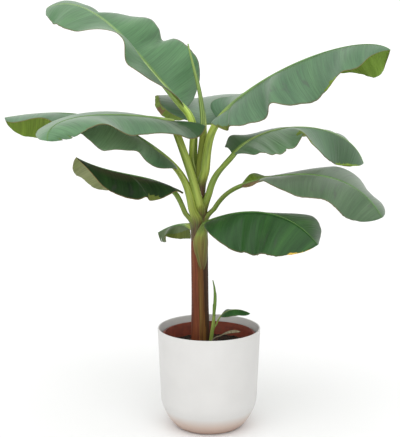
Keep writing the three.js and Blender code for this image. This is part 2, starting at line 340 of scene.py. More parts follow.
def white_planter_plastic():
    """Moulded polypropylene: even, slightly warm white with a satin skin, and painted shade with a painted
    warm floor reflection round its foot.
    """
    material, tree, shader = start_material("white_planter_plastic", roughness=0.42, ior=1.49)
    place = add(tree, "ShaderNodeTexCoord", output="Object")
    cloud = add(tree, NOISE, {"Vector": place, "Scale": 1 / (PLASTIC_CLOUD * MM), "Detail": 3})
    skin = add(tree, NOISE, {"Vector": place, "Scale": 1 / (PLASTIC_GRAIN * MM), "Detail": 2})
    height = add(tree, PARTS, {"Vector": place}, output="Z")
    # Painted shade and painted reflection of a warm floor: the white grows darker and warmer towards the
    # foot.
    foot = add(tree, RANGE, {"Value": height, "From Min": 0, "From Max": PAINTED_FOOT_SHADE_HEIGHT * MM})
    painted_foot_shade_and_reflection = add(tree, RAMP, {"Fac": foot}, stops=[(0, "#a08272"), (0.5, "#b8a69a"), (1, "#c2c1bf")])
    tone = add(tree, RAMP, {"Fac": cloud}, stops=[(0.35, "#fbfbfb"), (0.65, "#ffffff")])
    base = add(tree, sockets={SHARE: 1, UNDER: painted_foot_shade_and_reflection, OVER: tone}, blend_type="MULTIPLY", **LAYER)
    finish_material(tree, shader, base, skin, depth=0.02 * MM)
    return material


finish_piece("planter", spin_profile(pot_profile), [white_planter_plastic()], "planter", ["pot"])

# %% [markdown]
# ## The nursery pot
#
# Growers sell the plant in a thin brown pot of blown plastic, and it still stands inside the planter.
# Only its rolled lip and the upper part of its inner wall show. It is a turned shape again, so the same
# spin makes it. Pieces that rest on each other keep a hair of room, TOUCH, between them.

# %% Spin the nursery pot
TOUCH = 0.3
LINER_WALL = 2
LINER_FOOT_RADIUS = 69
LINER_RIM_RADIUS = 104
LINER_RIM_HEIGHT = 216
LINER_LIP = 2
LINER_CREASE = 40
DUST_SIZE = 18
RING_SPACING = 24

liner_foot = POT_WALL + TOUCH
liner_profile = [
    (0, liner_foot),
    (LINER_FOOT_RADIUS, liner_foot),
    (LINER_RIM_RADIUS, LINER_RIM_HEIGHT - 2 * LINER_LIP),
    (LINER_RIM_RADIUS + LINER_LIP, LINER_RIM_HEIGHT - 1.5 * LINER_LIP),
]
liner_profile += round_rim(LINER_RIM_RADIUS, LINER_RIM_HEIGHT - LINER_LIP, LINER_LIP)
liner_profile += [(LINER_FOOT_RADIUS - LINER_WALL, liner_foot + LINER_WALL), (0, liner_foot + LINER_WALL)]


def brown_nursery_plastic():
    """Thin blown polypropylene in terracotta brown, dull, with faint rings and dust from the soil."""
    material, tree, shader = start_material("brown_nursery_plastic", roughness=0.55, ior=1.49)
    place = add(tree, "ShaderNodeTexCoord", output="Object")
    dust = add(tree, NOISE, {"Vector": place, "Scale": 1 / (DUST_SIZE * MM), "Detail": 5})
    waves = {"Vector": place, "Scale": 1 / (RING_SPACING * MM), "Distortion": 0.5}
    rings = add(tree, "ShaderNodeTexWave", waves, output="Fac", bands_direction="Z")
    base = add(tree, RAMP, {"Fac": dust}, stops=[(0.3, "#5a2313"), (0.55, "#7a3018"), (0.8, "#6a3a26")])
    finish_material(tree, shader, base, rings, depth=0.15 * MM)
    return material


finish_piece("nursery_liner", spin_profile(liner_profile), [brown_nursery_plastic()], "nursery_pot",
             ["nursery_pot"], crease=LINER_CREASE)

# %% [markdown]
# ## The soil
#
# Potting soil is peat with bits of bark: dark, matt and lumpy. A spun disc gives the ground, and noise
# pushes its top up and down. The bits of bark are a few hundred rough flakes, each a squashed ball of
# twenty faces, dropped by a seeded rule and joined into one piece. The three numbers of a noise are how
# quickly its finer layers fade, how much finer each is and how many there are.

# %% Fill in the soil
SOIL_HEIGHT = 186
SOIL_TOP_FROM = 185
SOIL_RINGS = 26
SOIL_LUMP = 2.5
SOIL_LUMP_SIZE = 14
SOIL_LUMP_NOISE = (1, 2, 3)
CRUMB_SIZE = 4

soil_floor = liner_foot + LINER_WALL
soil_fill = (SOIL_HEIGHT - soil_floor) / (LINER_RIM_HEIGHT - soil_floor)
soil_foot_radius = LINER_FOOT_RADIUS - LINER_WALL
soil_radius = soil_foot_radius + (LINER_RIM_RADIUS - LINER_FOOT_RADIUS) * soil_fill - TOUCH


def soil_level(x, y):
    """Height of the lumpy soil, in metres, at a place in metres."""
    lumps = noise.fractal(Vector((x, y, 0)) / (SOIL_LUMP_SIZE * MM), *SOIL_LUMP_NOISE)
    return (SOIL_HEIGHT + SOIL_LUMP * lumps) * MM


def peat(name, dark, light):
    """Peat and bark: dry, rough and dark, with painted shade that makes the gaps nearly black."""
    material, tree, shader = start_material(name, roughness=0.95)
    place = add(tree, "ShaderNodeTexCoord", output="Object")
    crumb = add(tree, NOISE, {"Vector": place, "Scale": 1 / (CRUMB_SIZE * MM), "Detail": 6})
    # Painted shade: the same noise sinks the relief and darkens the colour, so the low gaps come out nearly
    # black.
    base = add(tree, RAMP, {"Fac": crumb}, stops=[(0.35, dark), (0.7, light)])
    finish_material(tree, shader, base, crumb, depth=1.5 * MM)
    return material


soil_top = [(soil_radius * (1 - i / SOIL_RINGS), SOIL_HEIGHT) for i in range(SOIL_RINGS + 1)]
soil_under = [(0, soil_floor + TOUCH), (soil_foot_radius - TOUCH, soil_floor + TOUCH)]
soil_bm = spin_profile(soil_under + soil_top)
for vert in soil_bm.verts:
    if vert.co.z > SOIL_TOP_FROM * MM:
        vert.co.z = soil_level(vert.co.x, vert.co.y)
dark_peat = peat("dark_peat", "#0e0a07", "#33241a")
finish_piece("potting_soil", soil_bm, [dark_peat], "potting_soil", ["soil"])

# %% Drop the bark
FLAKES = 420
FLAKE_SEED = 7
FLAKE_SIZES = (1.6, 4.5)
FLAKE_SHAPE = (1.5, 0.8, 0.45, 1)
FLAKE_TILT = 0.6
FLAKE_SPIN = 3
FLAKE_LIFT = 0.25
FLAKE_CREASE = 30
TRUNK_FOOT = (-20, 0)
TRUNK_CLEAR = 21

bark_tones = [dark_peat, peat("brown_bark", "#241510", "#4f3524"), peat("red_bark", "#2b140c", "#5c2f1b")]
chance = random.Random(FLAKE_SEED)
flakes_bm = bmesh.new()
for _ in range(FLAKES):
    turn = chance.uniform(0, 2 * math.pi)
    reach = (soil_radius - FLAKE_SHAPE[0] * FLAKE_SIZES[1]) * math.sqrt(chance.random())
    size = chance.uniform(*FLAKE_SIZES)
    x, y = reach * math.cos(turn), reach * math.sin(turn)
    tone = chance.randrange(len(bark_tones))
    tilt = Matrix.Rotation(chance.uniform(-FLAKE_TILT, FLAKE_TILT), 4, "X")
    spin = Matrix.Rotation(turn * FLAKE_SPIN, 4, "Z")
    if math.hypot(x - TRUNK_FOOT[0], y - TRUNK_FOOT[1]) < TRUNK_CLEAR:
        continue
    place = Matrix.Translation((x * MM, y * MM, soil_level(x * MM, y * MM) + size * FLAKE_LIFT * MM))
    shape = place @ (tilt @ spin) @ Matrix.Diagonal(FLAKE_SHAPE)
    made = bmesh.ops.create_icosphere(flakes_bm, subdivisions=1, radius=size * MM, matrix=shape)
    for face in {face for vert in made["verts"] for face in vert.link_faces}:
        face.material_index = tone
finish_piece("bark_flakes", flakes_bm, bark_tones, "potting_soil", crease=FLAKE_CREASE)

# %% [markdown]
# ## Stems and leaves by number
#
# A banana plant repeats one idea, so its leaves are a table. Angles are in degrees, and a place on a
# blade is a share from its base, 0, to its tip, 1. Each leaf leaves its stem at the height "rises",
# towards the compass direction "side" (from +X), with its stalk "lean" degrees from upright. "stalk" is
# the stalk's radius, "full" is how much fuller it is drawn, "wrap" is how far its wrap runs down the
# trunk, and "bends" say how long its two ends stay straight. "rib" is the curve of the midrib from the
# blade's base to its tip.
#
# "half_width" is the width of a half blade, "base_round" the share of the length in which its base rounds
# off, and "tip" how it narrows at the end: blunt near 0 and drawn out near 1. "left" and "right" are how
# far the two halves hang below level at even steps along the rib. Waves are what a real blade has
# besides: each is a place, a width and the degrees by which the margin dips there, or rises if they are
# negative. A lobe is a base that starts with a share of the full width, reaches back past the rib's start
# and rounds off in its own share. A tear is a place and the share of the width that it cuts.
#
# A patch is a part of the upper side with another look: its half, where it starts and ends along the
# blade, how far out from the midrib it begins there (shares too), and the look. A tone is a soft spot of
# painted light and shade: its half, place and width, and how much darker it paints the blade there as
# painted shade, or paler as painted light if that is negative.

# %% Write the leaf table
LEAVES = {
    "top_left_leaf": {
        "rises": 590, "side": 140, "lean": 15, "stalk": 7, "full": 1.5,
        "rib": ((-56, 15, 728), (-155, 50, 825), (-258, 120, 1007), (-378, 150, 954)),
        "half_width": 105, "base_round": 0.16, "left_tip": 0.33, "right_tip": 0.2,
        "left": (-24, -8, -20, 18, 44, 34), "right": (-10, -50, -27, -10, 4, 0),
        "left_waves": ((0.28, 0.05, 8), (0.56, 0.06, 3), (0.78, 0.09, -12), (0.95, 0.06, -4)),
        "right_waves": ((0.38, 0.035, 13), (0.49, 0.06, -8), (0.71, 0.04, 18), (0.95, 0.12, -13)),
        "tones": (("left", 0.08, 0.13, 1),),
    },
    "top_right_leaf": {
        "rises": 570, "side": 300, "lean": 12, "stalk": 8,
        "rib": ((20, -10, 702), (98, -80, 813), (308, -178, 893), (356, -204, 850)),
        "half_width": 100, "base_round": 0.16, "left_tip": 0.2, "right_tip": 1,
        "left": (-50, -2, 15, 26, 45, 40), "right": (15, 48, 55, 53, 35, 30),
        "left_lobe": (0.3, 0, 0.4), "left_waves": ((0, 0.04, -35),),
        "right_waves": ((0.09, 0.027, 14), (0.165, 0.04, 3), (0.25, 0.05, 6), (0.345, 0.04, -15),
                        (0.5, 0.07, 10), (0.7, 0.05, -4), (0.8, 0.06, 10)),
        "patches": (("right", 0.53, 0.62, 0.93, 0.93, "olive"), ("right", 0.05, 0.103, 0.9, 0.8, "moss"),
                    ("left", 0.7, 1.1, -0.1, -0.1, "painted_light_underside_look")),
    },
    "front_left_leaf": {
        "rises": 505, "side": 275, "lean": 10, "stalk": 7.5, "bends": (0.12, 0.04),
        "rib": ((-84, -10, 700), (-170, -95, 724), (-335, -220, 735), (-318, -258, 674)),
        "half_width": 90, "base_round": 0.16, "left_tip": 0.6, "right_tip": 0.95,
        "left": (14, 20, 25, 8, 9, 25), "right": (5, -2, 0, 7, 19, 32),
        "left_lobe": (0.8, 35, 0.16), "right_lobe": (0.25, 45, 0.16),
        "left_waves": ((0, 0.025, -14), (0.09, 0.05, 7)), "left_tears": ((0.86, 0.2), (0.93, 0.35)),
        "patches": (("left", -0.1, 0.05, -0.1, -0.1, "painted_shade_look"),),
        "tones": (("left", 0, 0.13, 1.2), ("left", 0.85, 0.25, -0.22), ("right", 0.85, 0.25, -0.22)),
    },
    "far_left_leaf": {
        "rises": 485, "side": 236, "lean": 12, "stalk": 7.5,
        "rib": ((-92, 0, 615), (-211, -10, 719), (-303, -30, 733), (-444, -45, 709)),
        "half_width": 86, "base_round": 0.18,
        "left": (25, 22, 40, 18, 4, 18), "right": (10, 12, 14, 37, 52, 76),
        "left_lobe": (0.5, 26, 0.18),
        "left_waves": ((0, 0.06, -22), (0.19, 0.035, -6), (0.36, 0.05, 4), (0.66, 0.08, 12)),
        "right_waves": ((0.57, 0.045, -22),),
        "tones": (("left", 0.3, 0.22, -1), ("left", 0, 0.12, 0.6)),
    },
    "low_left_leaf": {
        "rises": 475, "side": 195, "lean": 25, "stalk": 7, "full": 1,
        "rib": ((-80, -20, 546), (-122, -90, 594), (-202, -170, 593), (-269, -210, 638)),
        "half_width": 84, "base_round": 0.5, "tip": 0.6,
        "left": (5, 22, 30, 37, 40, 17), "right": (20, 20, 23, 27, 26, 45),
        "left_waves": ((0.28, 0.12, -12), (0.54, 0.03, -7)),
        "patches": (("right", -0.1, 1.1, -0.1, -0.1, "faded"), ("left", 0.36, 0.458, 0.95, 0.8, "moss")),
    },
    "back_left_leaf": {
        "rises": 410, "side": 92, "lean": 25, "stalk": 7,
        "rib": ((-44, 35, 460), (-66, 70, 461), (-96, 100, 447), (-121, 120, 428)),
        "half_width": 34, "base_round": 0.3, "tip": 0.15,
        "left": (75, 78, 80, 80, 80, 80), "right": (20, 20, 20, 25, 30, 30),
        "left_lobe": (0.8, 15, 0.3), "left_waves": ((0.58, 0.15, -42),), "left_tears": ((0.93, 0.5),),
        "patches": (("left", -0.1, 0.72, 0.1, 1, "moss"),),
    },
    "mid_right_leaf": {
        "rises": 510, "side": 318, "lean": 8, "stalk": 7.5, "full": 1.1, "bends": (0.6, 0.3),
        "rib": ((54, 15, 624), (123, 50, 708), (328, 100, 704), (365, 120, 594)),
        "half_width": 90, "base_round": 0.18,
        "left": (-24, 4, 8, 15, 8, 25), "right": (-8, 26, 16, 46, 60, 60),
        "left_lobe": (0.6, -15, 0.35),
        "left_waves": ((0, 0.07, 24), (0.7, 0.06, -14), (0.81, 0.05, -20), (0.95, 0.06, 70)),
        "right_waves": ((0.05, 0.03, 10), (0.19, 0.025, -3), (0.33, 0.035, 6), (0.4, 0.03, -10)),
        "right_tears": ((0.1, 0.06), (0.24, 0.05)),
        "patches": (("right", 0.345, 0.42, 0.7, 0.7, "olive"), ("right", 0.68, 1.1, 0.96, 0.8, "olive")),
        "tones": (("right", 0.25, 0.22, -0.55), ("left", 0, 0.15, 0.5), ("left", 0.9, 0.35, 0.5),
                  ("right", 0.9, 0.35, 0.5), ("right", 0.74, 0.16, 0.4)),
    },
    "low_right_leaf": {
        "rises": 485, "side": 358, "lean": 25, "stalk": 7, "full": 1,
        "rib": ((81, -10, 561), (218, -40, 607), (320, -90, 590), (368, -110, 500)),
        "half_width": 89, "base_round": 0.4,
        "left": (0, 3, -11, -6, 4, -9), "right": (6, 10, 27, 24, 43, 62),
        "left_lobe": (0.08, 10, 0.4), "right_lobe": (0.1, 8, 0.4),
        "left_waves": ((0.04, 0.05, -22), (0.36, 0.1, 6)), "right_waves": ((0.14, 0.05, -9),),
        "patches": (("left", -0.1, 0.13, -0.1, -0.1, "olive"), ("right", -0.1, 0.11, -0.1, -0.1, "dry")),
    },
    "front_right_leaf": {
        "rises": 445, "side": 290, "lean": 15, "stalk": 7, "full": 1, "wrap": 80,
        "rib": ((-5, -32, 478), (100, -90, 533), (178, -190, 518), (219, -210, 459)),
        "half_width": 92, "base_round": 0.3,
        "left": (28, 15, 15, 4, 7, 16), "right": (10, 42, 70, 55, 57, 60),
        "right_waves": ((0.29, 0.03, 6), (0.37, 0.04, -5)),
        "patches": (("right", 0.85, 0.97, 0.91, 0.91, "yellow"),
                    ("right", 0.98, 1.1, 0.88, 0.88, "yellow")),
    },
    "back_leaf": {
        "rises": 590, "side": 60, "lean": 15, "stalk": 7,
        "rib": ((-13, 32, 690), (-10, 130, 768), (-48, 280, 756), (-26, 390, 690)),
        "half_width": 104, "base_round": 0.16, "left_tip": 1.3, "right_tip": 0.7,
        "left": (-14, -12, -4, 17, 43, 56), "right": (-10, -10, -6, 10, 35, 62),
        "patches": (("left", 0.5, 0.6, 0.88, 0.88, "dry"),),
        "tones": (("left", 0.7, 0.35, 0.6),),
    },
}
SUCKER_LEAVES = {
    "sucker_leaf": {
        "rises": 238, "side": 0, "lean": 15, "stalk": 2,
        "rib": ((26, -26, 262), (40, -30, 280), (66, -36, 286), (92, -40, 272)),
        "half_width": 17, "base_round": 0.3,
        "left": (-10, -10, 10, 20, 30, 30), "right": (10, 30, 40, 40, 40, 40),
    },
    "sucker_withered_leaf": {
        "rises": 208, "side": 330, "lean": 15, "stalk": 1.6,
        "rib": ((30, -36, 222), (40, -40, 232), (56, -44, 238), (70, -46, 232)),
        "half_width": 8, "base_round": 0.3,
        "left": (10, 20, 30, 40, 40, 40), "right": (10, 20, 30, 40, 40, 40),
    },
}
print("leaves:", len(LEAVES), "and", len(SUCKER_LEAVES), "on the sucker")

# %% [markdown]
# ## Curves
#
# Every limb and every blade follows a curve, so we need three things of one: its length, the directions
# along, across and up at any place on it, and a smooth line through the few values that a table gives
# along it.

# %% Curve helpers
SLOPE_STEP = 0.0005
LENGTH_STEPS = 40


def metres(places):
    """Points in metres from a list in millimetres."""
    return [Vector(place) * MM for place in places]


def curve_length(curve):
    """Length of a cubic curve, from short straight steps."""
    spots = [bezier(curve, i / LENGTH_STEPS) for i in range(LENGTH_STEPS + 1)]
    return sum((b - a).length for a, b in zip(spots, spots[1:]))


def frame_at(curve, t, side_hint=None):
    """Place, direction, side and upper normal at t on a curve. The side is level unless a hint is given."""
    direction = (bezier(curve, t + SLOPE_STEP) - bezier(curve, t - SLOPE_STEP)).normalized()
    side = side_hint or direction.cross(UP)
    side = (side - direction * side.dot(direction)).normalized()
    return bezier(curve, t), direction, side, side.cross(direction)


def compass(angle):
    """Level direction at an angle from +X."""
    return Vector((math.cos(angle), math.sin(angle), 0))


def smooth_value(values, t):
    """A smooth line through evenly spaced values, for t from 0 to 1."""
    last = len(values) - 1
    spot = min(max(t, 0), 1) * last
    i = min(int(spot), last - 1)
    w = spot - i
    before, here, after, beyond = (values[min(max(i + k, 0), last)] for k in (-1, 0, 1, 2))
    slope_here = (after - before) / 2
    slope_after = (beyond - here) / 2
    cubic = 2 * here - 2 * after + slope_here + slope_after
    square = 3 * after - 3 * here - 2 * slope_here - slope_after
    return ((cubic * w + square) * w + slope_here) * w + here


for name, leaf in LEAVES.items():
    print("midrib of the", name, round(curve_length(metres(leaf["rib"])) / MM), "mm")

# %% [markdown]
# ## The shape of a blade
#
# A blade is a long paddle: round at its base, widest in the middle and drawn out to its tip. Each half
# turns about the midrib by its own hang, and curls a little more towards its margin. Side veins run from
# the midrib to the margin and bend slightly towards the tip, and between them the blade is faintly
# pleated. We write the half blade as one function of two shares, along and across, which then bends a
# flat grid. The three seeds keep the bays, ripples and pleats of the two halves apart.

# %% Outline a half blade
TIP_ROUND = 0.5
TIP_POWER = 0.45
EDGE_LENGTH = 24
EDGE_ROUGH = 2.2
EDGE_FULL_FROM = 20
EDGE_SEED = 5.7
EDGE_NOISE = (0.9, 2, 3)
TEAR_WIDTH = 0.005
RIB_BASE_SHARE = 0.8
RIB_TIP_SHARE = 0.14
RIB_TAPER_POWER = 1.6
HALVES = {"left": -1, "right": 1}


def blade_outline(t, start, base_round, tip_power):
    """Share of the half width at t: round at the base from its starting share, a long ellipse at the tip."""
    base_share = max(0, 1 - t / base_round)
    tip_share = max(0, (t - 1 + TIP_ROUND) / TIP_ROUND)
    base = blend(start, 1, math.sqrt(1 - base_share ** 2))
    return base * (1 - min(1, tip_share) ** 2) ** tip_power


def margin_reach(leaf, length, half, along, t):
    """How far the margin is from the midrib, in metres, with its small bays and its tears."""
    start, _, base_round = leaf.get(half + "_lobe", (0, 0, leaf["base_round"]))
    tip_power = leaf.get(half + "_tip", leaf.get("tip", TIP_POWER))
    reach = leaf["half_width"] * MM * blade_outline(t, start, base_round, tip_power)
    spot = Vector((along * length / (EDGE_LENGTH * MM), HALVES[half] * EDGE_SEED, leaf["side"]))
    bays = noise.fractal(spot, *EDGE_NOISE)
    reach += EDGE_ROUGH * MM * bays * min(1, reach / (EDGE_FULL_FROM * MM))
    for centre, depth in leaf.get(half + "_tears", ()):
        reach *= 1 - depth * hill(along, centre, TEAR_WIDTH)
    return reach


def rib_radius(leaf, t):
    """Radius of the midrib at t, in metres."""
    taper = (1 - min(t, 1)) ** RIB_TAPER_POWER
    return leaf["stalk"] * MM * blend(RIB_TIP_SHARE, RIB_BASE_SHARE, taper)


print("midrib of the top left leaf:", rib_radius(LEAVES["top_left_leaf"], 0) / MM, "mm at its base")

# %% Bend a half blade
BLADE_CURL = 24
BLADE_START_SHARE = 0.55
VEIN_SWEEP = 0.22
LOBE_FADES = 1.5
PLEAT_SPACING = 5
PLEAT_DEPTH = 0.45
PLEAT_FULL_FROM = 60
PLEAT_SEED = 3.1
RIPPLE_LENGTH = 62
RIPPLE_DEGREES = 3.5
RIPPLE_SEED = 7.3
NO_LOBE = (0, 0, 0)


def blade_hang(leaf, length, half, across, t):
    """Degrees by which a half blade hangs below level, with its waves and ripples."""
    hang = smooth_value(leaf[half], t)
    for centre, width, degrees in leaf.get(half + "_waves", ()):
        hang += degrees * hill(t, centre, width)
    spot = Vector((t * length / (RIPPLE_LENGTH * MM), HALVES[half] * RIPPLE_SEED, leaf["rises"]))
    return hang + RIPPLE_DEGREES * noise.noise(spot) * across ** 2


def blade_point(leaf, rib, length, half, along, across):
    """Point of a half blade: along is the share from base to tip, across from the midrib to the margin."""
    turn = HALVES[half]
    t = along + VEIN_SWEEP * across ** 2 * along * (1 - along)
    place, direction, side, normal = frame_at(rib, t)
    inner = rib_radius(leaf, t) * BLADE_START_SHARE
    outer = max(margin_reach(leaf, length, half, along, t), inner)
    reach = blend(inner, outer, across)
    back = leaf.get(half + "_lobe", NO_LOBE)[1] * MM * math.sin(across * math.pi / 2)
    place = place - direction * (back * (1 - smooth_step(0, LOBE_FADES * leaf["base_round"], along)))
    hang = blade_hang(leaf, length, half, across, t)
    chord = math.radians(hang + BLADE_CURL * (across - 1) / 2)
    slope = math.radians(hang + BLADE_CURL * (across - 0.5))
    pleat = noise.noise(Vector((along * length / (PLEAT_SPACING * MM), turn * PLEAT_SEED, leaf["side"])))
    depth = PLEAT_DEPTH * MM * min(1, leaf["half_width"] / PLEAT_FULL_FROM)
    lift = depth * pleat * math.sin(math.pi * across)
    sideways = turn * (reach * math.cos(chord) + lift * math.sin(slope))
    return place + side * sideways + normal * (lift * math.cos(slope) - reach * math.sin(chord)), reach


print("a blade is pleated every", PLEAT_SPACING, "mm")

# %% [markdown]
# ## Leaf skin
#
# The upper side of a banana leaf is deep green under a thin wax, so it is glossy: seen flat along the
# surface it mirrors the room and looks grey-green. Fine veins run across it in parallel, some strips are
# yellower, and the margin dries to a thin brown line. The underside is matt, lighter and more olive. All
# of this follows the veins, so the materials read the grain that each blade keeps: metres along, metres
# across, and the share across. Veins, strips and blotches are noise drawn out along the grain, with sizes
# along and across. Real veins stand closer than ours, which are as coarse as they need to be to show.

# %% Mix the leaf materials
# The tone attribute holds the painted light and shade of each blade.
PAINTED_LIGHT_AND_SHADE = "tone"
VEINS = (2.2, 66, math.inf)
DRY_VEINS = (2.2, 26.4, math.inf)
STRIPS = (26, 208, math.inf)
UNDERSIDE_STRIPS = (26, 156, math.inf)
BLOTCHES = (16, 40, math.inf)
STRIP_PLACES = (0.3, 0.5, 0.72)
FAINT_RIB = ("#5f8a3c", "#707070", 0.1)


def streaks(tree, grain, sizes, detail=3):
    """Noise drawn out along the grain, with its sizes in millimetres along the grain's three parts."""
    scale = [1 / (size * MM) for size in sizes]
    drawn_out = add(tree, "ShaderNodeVectorMath", {0: grain, 1: scale}, operation="MULTIPLY")
    return add(tree, NOISE, {"Vector": drawn_out, "Scale": 1, "Detail": detail})


def waxy_leaf_skin(name, greens, blotch, gloss=0.5, bloom=0.2, rib=FAINT_RIB):
    """The upper side of a blade: wax gloss over green, with veins, yellower strips, a dry brown margin, and
    the painted shade and painted light of its tone attribute. The rib is the colour beside the midrib, how
    strong it is and the share of the width that it fills."""
    material, tree, shader = start_material(name, roughness=0.45)
    shader.inputs["Specular IOR Level"].default_value = gloss
    shader.inputs["Sheen Weight"].default_value = bloom
    shader.inputs["Sheen Roughness"].default_value = 0.5
    grain = add(tree, ATTRIBUTE, output="Vector", attribute_name=GRAIN)
    across = add(tree, PARTS, {"Vector": grain}, output="Z")
    veins = streaks(tree, grain, VEINS)
    strips = streaks(tree, grain, STRIPS, detail=2)
    spots = streaks(tree, grain, BLOTCHES, detail=4)
    base = add(tree, RAMP, {"Fac": strips}, stops=list(zip(STRIP_PLACES, greens)))
    # The tone attribute is painted light and shade: above 0 it darkens the blade towards deep green as
    # painted shade, below 0 it pales it towards grey-green as painted light.
    tone = add(tree, ATTRIBUTE, output="Fac", attribute_name=PAINTED_LIGHT_AND_SHADE)
    dark = add(tree, RANGE, {"Value": tone, "From Min": 0, "From Max": 1})
    base = add(tree, sockets={SHARE: dark, UNDER: base, OVER: "#1f4519"}, **LAYER)
    painted_light_share = add(tree, RANGE, {"Value": tone, "From Min": 0, "From Max": -1})
    base = add(tree, sockets={SHARE: painted_light_share, UNDER: base, OVER: "#88ac82"}, **LAYER)
    fine = add(tree, RAMP, {"Fac": veins}, stops=[(0.35, "#b8b8b8"), (0.6, "#ffffff")])
    base = add(tree, sockets={SHARE: 0.5, UNDER: base, OVER: fine}, blend_type="MULTIPLY", **LAYER)
    stain = add(tree, RAMP, {"Fac": spots}, stops=[(0.6, "#000000"), (0.7, "#ffffff")])
    stain = add(tree, sockets={SHARE: 1, UNDER: stain, OVER: blotch}, blend_type="MULTIPLY", **LAYER)
    base = add(tree, sockets={SHARE: stain, UNDER: base, OVER: "#3a3038"}, **LAYER)
    rib_tone, strength, width = rib
    near_rib = add(tree, RAMP, {"Fac": across}, stops=[(0, strength), (width, "#000000")])
    base = add(tree, sockets={SHARE: near_rib, UNDER: base, OVER: rib_tone}, **LAYER)
    margin = add(tree, RAMP, {"Fac": across}, stops=[(0.965, "#000000"), (0.99, "#c0c0c0")])
    base = add(tree, sockets={SHARE: margin, UNDER: base, OVER: "#6b5a38"}, **LAYER)
    finish_material(tree, shader, base, veins, depth=0.25 * MM)
    return material


def pale_leaf_underside(name, dark, light):
    """The underside: matt, light olive green, with the veins standing out."""
    material, tree, shader = start_material(name, roughness=0.6, ior=1.4)
    shader.inputs["Specular IOR Level"].default_value = 0.25
    grain = add(tree, ATTRIBUTE, output="Vector", attribute_name=GRAIN)
    veins = streaks(tree, grain, VEINS)
    strips = streaks(tree, grain, UNDERSIDE_STRIPS)
    base = add(tree, RAMP, {"Fac": strips}, stops=[(0.3, dark), (0.7, light)])
    fine = add(tree, RAMP, {"Fac": veins}, stops=[(0.35, "#cccccc"), (0.6, "#ffffff")])
    base = add(tree, sockets={SHARE: 0.8, UNDER: base, OVER: fine}, blend_type="MULTIPLY", **LAYER)
    finish_material(tree, shader, base, veins, depth=0.3 * MM)
    return material


def dry_leaf(name, dark, light):
    """Dried leaf tissue: thin, papery and brown, with the veins left as ridges."""
    material, tree, shader = start_material(name, roughness=0.8)
    grain = add(tree, ATTRIBUTE, output="Vector", attribute_name=GRAIN)
    veins = streaks(tree, grain, DRY_VEINS, detail=5)
    base = add(tree, RAMP, {"Fac": veins}, stops=[(0.3, dark), (0.7, light)])
    finish_material(tree, shader, base, veins, depth=0.4 * MM)
    return material


print("leaf veins are", VEINS[0], "mm apart")

# %% [markdown]
# ## Skins for each leaf
#
# No two leaves of a plant have the same green: old ones are dull and young ones are bluish. A leaf that
# lies in shadow gets painted shade in its skin: the deep skin is darker and duller, and that of the low left
# leaf nearly black. So there are eight skins for the ten leaves, and a few looks are kept for patches where
# a leaf is turned over, dry, yellow or in painted shade, or where its underside has painted light. A look is
# what its upper side, underside and margin are made of.

# %% Choose the leaf skins
LOOK_PARTS = 3

UPPER_SKIN = waxy_leaf_skin("waxy_leaf_skin", ("#345f39", "#3d6a41", "#49764a"), "#404040")
RIBBED_SKIN = waxy_leaf_skin("pale_ribbed_leaf_skin", ("#3f6a3f", "#497448", "#558052"), "#202020",
                             bloom=0.12, rib=("#9cbc74", "#e0e0e0", 0.05))
STREAKED_SKIN = waxy_leaf_skin("streaked_leaf_skin", ("#3b6140", "#466b48", "#517750"), "#a0a0a0")
DULL_SKIN = waxy_leaf_skin("dull_waxy_leaf_skin", ("#3a5836", "#435f3e", "#4c6846"), "#a0a0a0", bloom=0.25)
# Painted shade: a darker, less glossy copy of the leaf skin for leaves and parts that lie in shadow.
PAINTED_SHADE_SKIN = waxy_leaf_skin("painted_shade_waxy_leaf_skin", ("#1a3e16", "#22491c", "#2d5822"), "#808080",
                           gloss=0.3, bloom=0.05, rib=("#1c4018", "#707070", 0.1))
# Painted deep shade: a nearly black, nearly matt copy for the low left leaf, which lies in the shadow of the
# leaves above it.
PAINTED_DEEP_SHADE_SKIN = waxy_leaf_skin("painted_deep_shade_leaf_skin", ("#11260e", "#182f12", "#203b17"), "#808080",
                           gloss=0.08, bloom=0.02, rib=("#40382a", "#d8d8d8", 0.45))
OLIVE_SKIN = waxy_leaf_skin("olive_leaf_skin", ("#3f5428", "#4a5e30", "#566a3a"), "#808080",
                            gloss=0.4, bloom=0.1)
GREY_SKIN = waxy_leaf_skin("greyish_leaf_skin", ("#4c6c50", "#567658", "#648464"), "#606060", bloom=0.3)
UNDERSIDE = pale_leaf_underside("pale_leaf_underside", "#647f2a", "#819a3c")
# Painted light: a brighter underside for the top right leaf's tip, where its underside lies in shadow.
PAINTED_LIGHT_UNDERSIDE = pale_leaf_underside("painted_light_leaf_underside", "#6f8f34", "#88a648")
FADED_UNDERSIDE = pale_leaf_underside("faded_leaf_underside", "#767f4e", "#8f9568")
MOSS_UNDERSIDE = pale_leaf_underside("mossy_leaf_underside", "#4c5a20", "#626c2a")
DRY_MARGIN = dry_leaf("dry_brown_margin", "#5a4526", "#8a7346")
YELLOW_MARGIN = dry_leaf("yellowed_margin", "#a8862c", "#d2b04a")
LEAF_SKINS = {
    "top_left_leaf": RIBBED_SKIN,
    "top_right_leaf": STREAKED_SKIN,
    "front_left_leaf": UPPER_SKIN,
    "far_left_leaf": UPPER_SKIN,
    "low_left_leaf": PAINTED_DEEP_SHADE_SKIN,
    "back_left_leaf": OLIVE_SKIN,
    "mid_right_leaf": UPPER_SKIN,
    "low_right_leaf": DULL_SKIN,
    "front_right_leaf": PAINTED_SHADE_SKIN,
    "back_leaf": GREY_SKIN,
}
